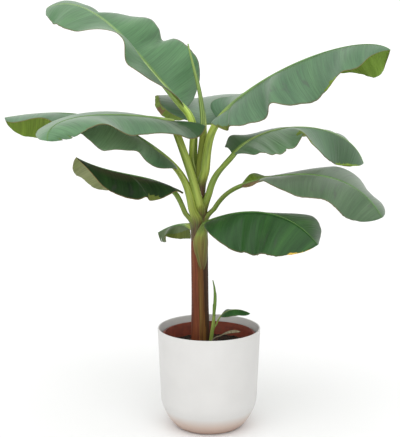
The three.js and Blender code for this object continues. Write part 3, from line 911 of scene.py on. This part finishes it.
LOOKS = {
    # Painted shade: the deep and faded looks have the darker, duller skin on top.
    "painted_shade_look": [PAINTED_SHADE_SKIN, UNDERSIDE, DRY_MARGIN],
    "faded": [PAINTED_SHADE_SKIN, FADED_UNDERSIDE, DRY_MARGIN],
    "olive": [UNDERSIDE, UNDERSIDE, DRY_MARGIN],
    # Painted light: the bright look has the brighter underside.
    "painted_light_underside_look": [UPPER_SKIN, PAINTED_LIGHT_UNDERSIDE, DRY_MARGIN],
    "moss": [MOSS_UNDERSIDE, MOSS_UNDERSIDE, DRY_MARGIN],
    "dry": [DRY_MARGIN] * LOOK_PARTS,
    "yellow": [YELLOW_MARGIN] * LOOK_PARTS,
}
print("leaf materials:", UPPER_SKIN.name, PAINTED_SHADE_SKIN.name, "and patches of", ", ".join(LOOKS))

# %% [markdown]
# ## The blades
#
# Both halves of a leaf are grids in one mesh. A Solidify modifier gives the sheet its thickness, and it
# can hand the lower side and the rim other materials, so upper skin, underside and margin need no extra
# faces. The border of a patch wanders a little, as a fold or a dry place does.

# %% Grow the blades
BLADE_GRID = (300, 18)
SUCKER_GRID = (60, 8)
BLADE_THICKNESS = 0.9
WANDER_PITCH = (40, 6)
WANDER_REACH = (0.012, 0.05)
WANDER_NOISE = (1, 2, 2)


def blade_shares(place):
    """Shares along and across for a place on the flat grid, with finer steps at both ends."""
    share = place.x + 0.5
    return 0.5 * share + 0.25 * (1 - math.cos(math.pi * share)), place.y + 0.5


def patch_index(leaf, half, along, across):
    """Index of the upper side's material at a place on the grid: 0, or that of the patch that covers it."""
    index = 0
    spot = Vector((along * WANDER_PITCH[0], across * WANDER_PITCH[1], leaf["side"]))
    wander = noise.fractal(spot, *WANDER_NOISE)
    for i, (side, start, end, inner_first, inner_last, _) in enumerate(leaf.get("patches", ())):
        share = (along + WANDER_REACH[0] * wander - start) / (end - start)
        inner = blend(inner_first, inner_last, share)
        if side == half and 0 < share < 1 and across + WANDER_REACH[1] * wander > inner:
            index = LOOK_PARTS * (i + 1)
    return index


def painted_light_and_shade_at(leaf, half, along):
    """Painted shade at a share of a blade's length, from soft spots, or painted light where it is negative.
    """
    spots = [spot[1:] for spot in leaf.get("tones", ()) if spot[0] == half]
    return sum(depth * hill(along, centre, width) for centre, width, depth in spots)


def half_blade(leaf, rib, half, grid):
    """A flat grid bent into one half of a blade, with its grain, and its upper side pointing out."""
    length = curve_length(rib)
    bm = bmesh.new()
    bmesh.ops.create_grid(bm, x_segments=grid[0], y_segments=grid[1], size=0.5)
    for face in bm.faces:
        middle = face.calc_center_median()
        face.material_index = patch_index(leaf, half, *blade_shares(middle))
    grain = bm.verts.layers.float_vector.new(GRAIN)
    tone = bm.verts.layers.float.new(PAINTED_LIGHT_AND_SHADE)
    for vert in bm.verts:
        along, across = blade_shares(vert.co)
        vert.co, reach = blade_point(leaf, rib, length, half, along, across)
        vert[grain] = (along * length, reach, across)
        vert[tone] = painted_light_and_shade_at(leaf, half, along)
    if half == "right":
        bmesh.ops.reverse_faces(bm, faces=bm.faces)
    return bm


def grow_blade(name, leaf, grid, materials, slot):
    """Both halves of a leaf's blade as one piece with a live thickness."""
    rib = metres(leaf["rib"])
    whole = bmesh.new()
    for half in HALVES:
        bm = half_blade(leaf, rib, half, grid)
        part = bpy.data.meshes.new("half")
        bm.to_mesh(part)
        bm.free()
        whole.from_mesh(part)
        bpy.data.meshes.remove(part)
    piece = finish_piece(name + "_blade", whole, materials, slot,
                         [name + "_left_half", name + "_right_half"])
    sheet = piece.modifiers.new("thickness", "SOLIDIFY")
    sheet.thickness = BLADE_THICKNESS * MM
    sheet.offset = -1
    sheet.material_offset = 1
    sheet.material_offset_rim = 2


for name, leaf in LEAVES.items():
    skins = [LEAF_SKINS[name], UNDERSIDE, DRY_MARGIN]
    for patch in leaf.get("patches", ()):
        skins += LOOKS[patch[-1]]
    grow_blade(name, leaf, BLADE_GRID, skins, "leaf_blade")

# %% [markdown]
# ## Stems
#
# The clump has two stems, the trunk and the sucker beside it. Both are round and taper along a curve, so
# one small class holds what can be asked of a stem: how thick it is at a place, how far along that is,
# and which place lies at a height. The height has no formula, so we close in on it by halves.

# %% Stems that the stalks leave from
TRUNK_CURVE = metres(((-20, 0, 186.3), (-20, 0, 360), (-27, 0, 540), (-14, 0, 680)))
TRUNK_RADII = (22.5, 20, 19.5, 18.5, 13, 9.5, 6)
SUCKER_CURVE = metres(((4, -26, 186.3), (4, -26, 220), (10, -26, 235), (11, -26, 262)))
SUCKER_RADII = (5, 4.5, 4, 3.5)
SEARCH_STEPS = 30


class Stem:
    """A stem of the clump: its axis and its taper."""

    def __init__(self, curve, radii):
        self.curve = curve
        self.radii = radii
        self.length = curve_length(curve)

    def radius(self, t):
        """Radius at t, in metres."""
        return smooth_value(self.radii, t) * MM

    def run(self, t):
        """Metres along the stem at t."""
        return t * self.length

    @functools.cache
    def share_at(self, height):
        """The share of the stem's curve at a height."""
        low, high = 0, 1
        for _ in range(SEARCH_STEPS):
            middle = (low + high) / 2
            if bezier(self.curve, middle).z < height:
                low = middle
            else:
                high = middle
        return low


TRUNK = Stem(TRUNK_CURVE, TRUNK_RADII)
SUCKER = Stem(SUCKER_CURVE, SUCKER_RADII)
print("trunk radius at the soil:", TRUNK.radius(0), "and at its tip:", TRUNK.radius(1))

# %% [markdown]
# ## Stalks and midribs
#
# A stalk starts as a broad wrap round the trunk, narrows into a thick U with a groove on its upper side,
# and runs on under the blade as the midrib, where the groove slowly closes. It is one limb, so it is one
# tube: at its foot each ring is laid round the trunk as a crescent, further up it is a grooved round, and
# between them the two shapes are blended. The sizes of a wrap are those of a stalk of WRAP_STALK radius.

# %% Shape the stalks
STALK_BENDS = (0.4, 0.4)
STALK_END_SHARE = 0.85
STALK_FULL = 1.3
STALK_TURNS_FROM = 0.2
RIB_FULL = 0.8
RIB_NARROWS = 0.28
STALK_GRAIN = 0.2
GROOVE_WIDTH = math.radians(38)
GROOVE_DEPTH = 0.62
GROOVE_RIB_DEPTH = 0.3
GROOVE_CLOSES = 0.25
FLANGE_ANGLE = math.radians(50)
WRAP_STALK = 7
WRAP_LENGTH = 48
WRAP_HALF_TURN = math.radians(85)
WRAP_WIDENS = 0.6
WRAP_THICKNESS = (0.4, 4.5)
WRAP_THICKENS = 1.5
WRAP_SUNK = 1.0
WRAP_LETS_GO = (-0.3, 0.45)
HEIGHT_DIGITS = 5


class Stalk:
    """One limb from the wrap on its stem, along the stalk, to the midrib's tip."""

    def __init__(self, leaf, stem):
        self.leaf = leaf
        self.stem = stem
        self.rib = metres(leaf["rib"])
        self.radius = leaf["stalk"] * MM
        self.turn = math.radians(leaf["side"])
        outwards = compass(self.turn)
        self.across = outwards.cross(UP)
        lean = math.radians(leaf["lean"])
        self.rise = UP * math.cos(lean) + outwards * math.sin(lean)
        self.height = leaf["rises"] * MM
        share = stem.share_at(self.height)
        reach = stem.radius(share) + self.radius * math.cos(lean)
        foot = bezier(stem.curve, share) + outwards * reach
        end, direction, self.rib_side, _ = frame_at(self.rib, 0)
        span = (end - foot).length
        low_bend, high_bend = leaf.get("bends", STALK_BENDS)
        lower = foot + self.rise * (span * low_bend)
        upper = end - direction * (span * high_bend)
        self.curve = [foot, lower, upper, end]
        self.stalk_length = curve_length(self.curve)
        self.rib_length = curve_length(self.rib)
        self.wrap = leaf.get("wrap", WRAP_LENGTH) * self.radius / WRAP_STALK
        self.length = self.wrap + self.stalk_length + self.rib_length
        self.full = leaf.get("full", STALK_FULL)

    def grain(self, share):
        """Height of the grain: metres up the wrap, to 0, then 0.2 at the stalk's end and 1 at the rib's."""
        run = share * self.length - self.wrap
        if run > self.stalk_length:
            return blend(STALK_GRAIN, 1, (run - self.stalk_length) / self.rib_length)
        return run if run < 0 else STALK_GRAIN * run / self.stalk_length

    def grooved(self, centre, side, normal, radius, groove, angle):
        """A point of a round section with a groove on its upper side."""
        off = abs(math.remainder(angle - math.pi / 2, 2 * math.pi))
        reach = radius * (1 - groove * hill(off, 0, GROOVE_WIDTH))
        return centre + side * (reach * math.cos(angle)) + normal * (reach * math.sin(angle))

    def wrapped(self, run, angle):
        """A point of the crescent that lies on the stem, run metres above the stalk's foot."""
        share = self.stem.share_at(round(self.height + run, HEIGHT_DIGITS))
        up = min(1, max(0, 1 + run / self.wrap))
        below = math.remainder(angle + math.pi / 2, 2 * math.pi)
        outer = math.pi - FLANGE_ANGLE
        stem_radius = self.stem.radius(share)
        if abs(below) <= outer:
            spread = below / outer
            wall = blend(*WRAP_THICKNESS, up ** WRAP_THICKENS) * self.radius / WRAP_STALK
            reach = stem_radius + wall * math.sqrt(max(0, 1 - spread ** 2)) - TOUCH * MM
        else:
            spread = math.copysign((math.pi - abs(below)) / FLANGE_ANGLE, below)
            reach = stem_radius - WRAP_SUNK * MM
        turn = self.turn - WRAP_HALF_TURN * up ** WRAP_WIDENS * spread
        return bezier(self.stem.curve, share) + compass(turn) * reach

    def place(self, angle, share):
        """Where a point of the straight tube goes."""
        run = share * self.length - self.wrap
        if run > self.stalk_length:
            t = min(1, (run - self.stalk_length) / self.rib_length)
            centre, _, side, normal = frame_at(self.rib, t)
            groove = blend(GROOVE_DEPTH, GROOVE_RIB_DEPTH, smooth_step(0, GROOVE_CLOSES, t))
            base = self.full * STALK_END_SHARE / RIB_BASE_SHARE
            full = blend(base, RIB_FULL, smooth_step(0, RIB_NARROWS, t))
            return self.grooved(centre, side, normal, rib_radius(self.leaf, t) * full, groove, angle)
        t = run / self.stalk_length
        hint = self.across.lerp(self.rib_side, smooth_step(STALK_TURNS_FROM, 1, t))
        centre, _, side, normal = frame_at(self.curve, max(t, 0), hint)
        centre += self.rise * min(0, run)
        radius = self.radius * self.full * blend(1, STALK_END_SHARE, max(0, t))
        spot = self.grooved(centre, side, normal, radius, GROOVE_DEPTH, angle)
        lets_go, free = WRAP_LETS_GO
        hold = 1 - smooth_step(lets_go * self.wrap, free * self.wrap, run)
        return spot.lerp(self.wrapped(run, angle), hold) if hold > 0 else spot


print("stalk of the top left leaf:", round(Stalk(LEAVES["top_left_leaf"], TRUNK).stalk_length, 3), "m")

# %% [markdown]
# ## Stalk skin
#
# A stalk is juicy and smooth, brown at the foot of its wrap, pale green above and the green of its leaf
# along the midrib. Fine streaks run up it, broad ones flush greener, and the groove has painted shade
# between two pale rims. The grain of a stalk has its height as the third part, so a ramp over that places
# the tones, and its second part tells how far a point lies towards the groove.

# %% Mix the stalk skins
STALK_STREAKS = (2.5, 2.5, 70)
STALK_FLUSH = (6, 6, 150)
STALK_FOOT = -0.1
STALK_PLACES = (0.03, 0.076, 0.1, 0.24, 0.36, 0.7)
GROOVE_HEIGHT = 8


def fleshy_stalk(name, tones):
    """Stalk skin: smooth and juicy, with tones from the wrap's foot to the midrib's tip, greener streaks,
    pale rims and painted shade in the groove."""
    material, tree, shader = start_material(name, roughness=0.45, ior=1.42)
    shader.inputs["Specular IOR Level"].default_value = 0.35
    grain = add(tree, ATTRIBUTE, output="Vector", attribute_name=GRAIN)
    height = add(tree, PARTS, {"Vector": grain}, output="Z")
    up = add(tree, RANGE, {"Value": height, "From Min": STALK_FOOT, "From Max": 1})
    base = add(tree, RAMP, {"Fac": up}, stops=list(zip(STALK_PLACES, tones)))
    flush = streaks(tree, grain, STALK_FLUSH)
    green = add(tree, RAMP, {"Fac": flush}, stops=[(0.45, "#000000"), (0.62, "#a0a0a0")])
    base = add(tree, sockets={SHARE: green, UNDER: base, OVER: "#4f7a30"}, **LAYER)
    side = add(tree, PARTS, {"Vector": grain}, output="Y")
    lift = add(tree, "ShaderNodeMath", {0: side, 1: 1 / (GROOVE_HEIGHT * MM)}, operation="MULTIPLY")
    rim_stops = [(0.44, "#000000"), (0.54, "#a0a0a0"), (0.62, "#a0a0a0"), (0.7, "#000000")]
    rims = add(tree, RAMP, {"Fac": lift}, stops=rim_stops)
    base = add(tree, sockets={SHARE: rims, UNDER: base, OVER: "#c9d68c"}, **LAYER)
    # Painted shade: the groove is darkened where it lies in shadow.
    groove = add(tree, RAMP, {"Fac": lift}, stops=[(0.72, "#000000"), (0.86, "#909090")])
    base = add(tree, sockets={SHARE: groove, UNDER: base, OVER: "#3f6a22"}, **LAYER)
    lines = streaks(tree, grain, STALK_STREAKS)
    fine = add(tree, RAMP, {"Fac": lines}, stops=[(0.3, "#9c9c8c"), (0.65, "#ffffff")])
    base = add(tree, sockets={SHARE: 0.8, UNDER: base, OVER: fine}, blend_type="MULTIPLY", **LAYER)
    finish_material(tree, shader, base, lines, depth=0.3 * MM)
    return material


BROWN_FOOT = ("#68402a", "#54402a")
PALE_STALK = fleshy_stalk("fleshy_stalk", BROWN_FOOT + ("#8e9a40", "#bcd85a", "#a8c478", "#98b884"))
GREEN_STALK = fleshy_stalk("green_ribbed_stalk", BROWN_FOOT + ("#929e44", "#b4c85c", "#82a266", "#66905a"))
SHADED_STALK = fleshy_stalk("shaded_stalk", BROWN_FOOT + ("#7c8a3a", "#7b9440", "#6e9450", "#66905a"))
LEAFY_STALK = fleshy_stalk("leafy_stalk", BROWN_FOOT + ("#7e8c3a", "#8ea84a", "#a8c478", "#98b884"))
OLIVE_TONES = ("#5e4a22", "#7a7032", "#868c3c", "#5f7a30", "#335f28", "#335f28")
OLIVE_STALK = fleshy_stalk("olive_stalk", OLIVE_TONES)
STALK_SKINS = {
    "front_right_leaf": OLIVE_STALK,
    "top_left_leaf": PALE_STALK,
    "mid_right_leaf": LEAFY_STALK,
    "low_right_leaf": SHADED_STALK,
    "low_left_leaf": SHADED_STALK,
}
print("stalks with skins of their own:", len(STALK_SKINS))

# %% Grow the stalks
STALK_SIDES = 32
STALK_STEPS = 130


def grow_stalk(name, leaf, stem, skin, slot):
    """Stalk and midrib of a leaf as one piece."""
    stalk = Stalk(leaf, stem)
    bm = grow_tube(STALK_SIDES, STALK_STEPS)
    bend_tube(bm, stalk.place, stalk.radius, stalk.grain)
    finish_piece(name + "_stalk_and_midrib", bm, [skin], slot, [name + "_stalk", name + "_rib"])


for name, leaf in LEAVES.items():
    grow_stalk(name, leaf, TRUNK, STALK_SKINS.get(name, GREEN_STALK), "leaf_stalk")

# %% [markdown]
# ## The trunk
#
# The trunk is the bundle of old wraps. Their edges run up it as low steps, and their outer skins have
# dried to red and brown paper. It is a tube again, and its radius is a saw-tooth round the trunk: each
# wrap swells slowly and ends in an edge. Each wrap has a skin of its own, and above GREEN_FROM they are
# still green.

# %% Grow the trunk
TRUNK_SIDES = 120
TRUNK_STEPS = 110
WRAP_ENDS = (0.3, 0.6, 0.893, 1)
WRAP_START = 0.139
WRAP_TWIST = 0.12
WRAP_EDGE = 1.5
WRAP_LEVEL = 0.6
WRAP_CREASE = 35
FIBRE_DEPTH = 0.35
FIBRES_ROUND = 9
FIBRES_UP = 6
WRAP_STREAKS = (7, 7, 140)
WRAP_FIBRES = (1.6, 1.6, 60)
GREEN_FROM = 290
GREEN_FULL = 360


def trunk_wrap(angle, share):
    """Which wrap lies at a place on the trunk, and how far round it that is."""
    turn = (angle / (2 * math.pi) + WRAP_START + WRAP_TWIST * share) % 1
    start = 0
    for i, end in enumerate(WRAP_ENDS):
        if turn < end:
            return i, (turn - start) / (end - start)
        start = end


def trunk_place(angle, share):
    """A point of the trunk, with the edges of the wraps and the fibres in relief."""
    centre = bezier(TRUNK.curve, share)
    _, over = trunk_wrap(angle, share)
    outwards = compass(angle)
    fibre = noise.noise(Vector((outwards.x * FIBRES_ROUND, outwards.y * FIBRES_ROUND, share * FIBRES_UP)))
    relief = WRAP_EDGE * (over - WRAP_LEVEL) * (1 - share) + FIBRE_DEPTH * fibre
    return centre + outwards * (TRUNK.radius(share) + relief * MM)


def papery_wrap(name, dark, mid, light):
    """Dried leaf wrap: papery, with long fibres and darker streaks, still green where stalks leave it."""
    material, tree, shader = start_material(name, roughness=0.6)
    shader.inputs["Specular IOR Level"].default_value = 0.2
    grain = add(tree, ATTRIBUTE, output="Vector", attribute_name=GRAIN)
    patches = streaks(tree, grain, WRAP_STREAKS, detail=4)
    fibres = streaks(tree, grain, WRAP_FIBRES)
    base = add(tree, RAMP, {"Fac": patches}, stops=[(0.3, dark), (0.5, mid), (0.7, light)])
    fine = add(tree, RAMP, {"Fac": fibres}, stops=[(0.3, "#a0a0a0"), (0.65, "#ffffff")])
    height = add(tree, PARTS, {"Vector": grain}, output="Z")
    young = add(tree, RANGE, {"Value": height, "From Min": GREEN_FROM * MM, "From Max": GREEN_FULL * MM})
    base = add(tree, sockets={SHARE: young, UNDER: base, OVER: "#85923a"}, **LAYER)
    base = add(tree, sockets={SHARE: 0.8, UNDER: base, OVER: fine}, blend_type="MULTIPLY", **LAYER)
    finish_material(tree, shader, base, fibres, depth=0.5 * MM)
    return material


trunk_bm = grow_tube(TRUNK_SIDES, TRUNK_STEPS)
for face in trunk_bm.faces:
    middle = face.calc_center_median()
    face.material_index = trunk_wrap(math.atan2(middle.y, middle.x), middle.z)[0]
bend_tube(trunk_bm, trunk_place, TRUNK.radius(0), TRUNK.run)
wrap_skins = [
    papery_wrap("dark_brown_wrap", "#2c1a0e", "#402814", "#52361a"),
    papery_wrap("umber_wrap", "#40260f", "#5a3a1a", "#6a4a24"),
    papery_wrap("red_brown_wrap", "#5a2a1a", "#743e24", "#7e5430"),
    papery_wrap("orange_brown_wrap", "#4e3016", "#66421c", "#705628"),
]
finish_piece("trunk_wraps", trunk_bm, wrap_skins, "leaf_sheath", ["trunk"], crease=WRAP_CREASE)

# %% [markdown]
# ## The rolled new leaf
#
# The youngest leaf comes up out of the trunk's tip rolled tight like a cigar, with the free edge winding
# round it. It is a tapering tube whose radius steps down along a slow spiral.

# %% Grow the rolled leaves
SPEAR_CURVE = metres(((-14, 0, 680.3), (-13, -2, 750), (-31, -8, 800), (-47, -8, 868)))
SPEAR_RADII = (5.5, 5, 3.5, 1.6)
SUCKER_SPEAR_CURVE = metres(((11, -26, 262.3), (12, -26, 290), (17, -26, 315), (8, -26, 345)))
SUCKER_SPEAR_RADII = (3.5, 4, 3, 1.2)
ROLL_TURNS = 1.6
ROLL_STEP = 0.22
ROLL_SIDES = 32
ROLL_STEPS = 70
ROLL_TONES = ("#66843a", "#66843a", "#6f8d42", "#78984c", "#7e9c54", "#7e9c54")
SUCKER_ROLL_TONES = ("#7c8a3a", "#7c8a3a", "#5f7830", "#4c6a28", "#4c6a28", "#4c6a28")


def rolled_radius(stem, turns, angle, share):
    """Radius of a rolled leaf or wrap whose free edge winds so many turns up a stem."""
    over = (angle / (2 * math.pi) + turns * share) % 1
    return stem.radius(share) * (1 + ROLL_STEP * (over - 0.5))


def roll_leaf(name, curve, radii, node, skin):
    """A rolled leaf along a curve, with the step of its free edge winding up it."""
    stem = Stem(curve, radii)

    def place(angle, share):
        centre, _, side, normal = frame_at(curve, share, Vector((1, 0, 0)))
        radius = rolled_radius(stem, ROLL_TURNS, angle, share)
        return centre + side * (radius * math.cos(angle)) + normal * (radius * math.sin(angle))

    bm = grow_tube(ROLL_SIDES, ROLL_STEPS)
    bend_tube(bm, place, stem.radius(0), stem.run)
    finish_piece(name, bm, [skin], "new_growth", [node], crease=WRAP_CREASE)


roll_leaf("rolled_new_leaf", SPEAR_CURVE, SPEAR_RADII, "rolled_leaf",
          fleshy_stalk("rolled_leaf_skin", ROLL_TONES))
roll_leaf("sucker_new_leaf", SUCKER_SPEAR_CURVE, SUCKER_SPEAR_RADII, "sucker_rolled_leaf",
          fleshy_stalk("sucker_rolled_leaf_skin", SUCKER_ROLL_TONES))

# %% [markdown]
# ## The sucker
#
# A young shoot comes up from the same root, with a green leaf of its own and a withered one. It is the
# big plant in small, so the same functions grow it.

# %% Grow the sucker
SUCKER_SIDES = 24
SUCKER_STEM_STEPS = 30
SUCKER_TURNS = 0.5
SUCKER_TONES = ("#74823a", "#74823a", "#7f8e40", "#869846", "#869846", "#869846")
SUCKER_SKIN = fleshy_stalk("sucker_stalk", SUCKER_TONES)
WITHERED = dry_leaf("withered_leaf", "#4a4030", "#8d8468")
SUCKER_FINISHES = {
    "sucker_leaf": (SUCKER_SKIN, LOOKS["painted_shade_look"], "new_growth", "leaf_blade"),
    "sucker_withered_leaf": (WITHERED, [WITHERED] * LOOK_PARTS, "withered_leaf", "withered_leaf"),
}


def sucker_place(angle, share):
    """A point of the sucker's stem, with a step where its wrap ends."""
    radius = rolled_radius(SUCKER, SUCKER_TURNS, angle, share)
    return bezier(SUCKER.curve, share) + compass(angle) * radius


sucker_bm = grow_tube(SUCKER_SIDES, SUCKER_STEM_STEPS)
bend_tube(sucker_bm, sucker_place, SUCKER.radius(0), SUCKER.run)
finish_piece("sucker_wraps", sucker_bm, [SUCKER_SKIN], "new_growth", ["sucker_stem"], crease=WRAP_CREASE)
for name, leaf in SUCKER_LEAVES.items():
    stalk_skin, blade_skins, stalk_slot, blade_slot = SUCKER_FINISHES[name]
    grow_stalk(name, leaf, SUCKER, stalk_skin, stalk_slot)
    grow_blade(name, leaf, SUCKER_GRID, blade_skins, blade_slot)
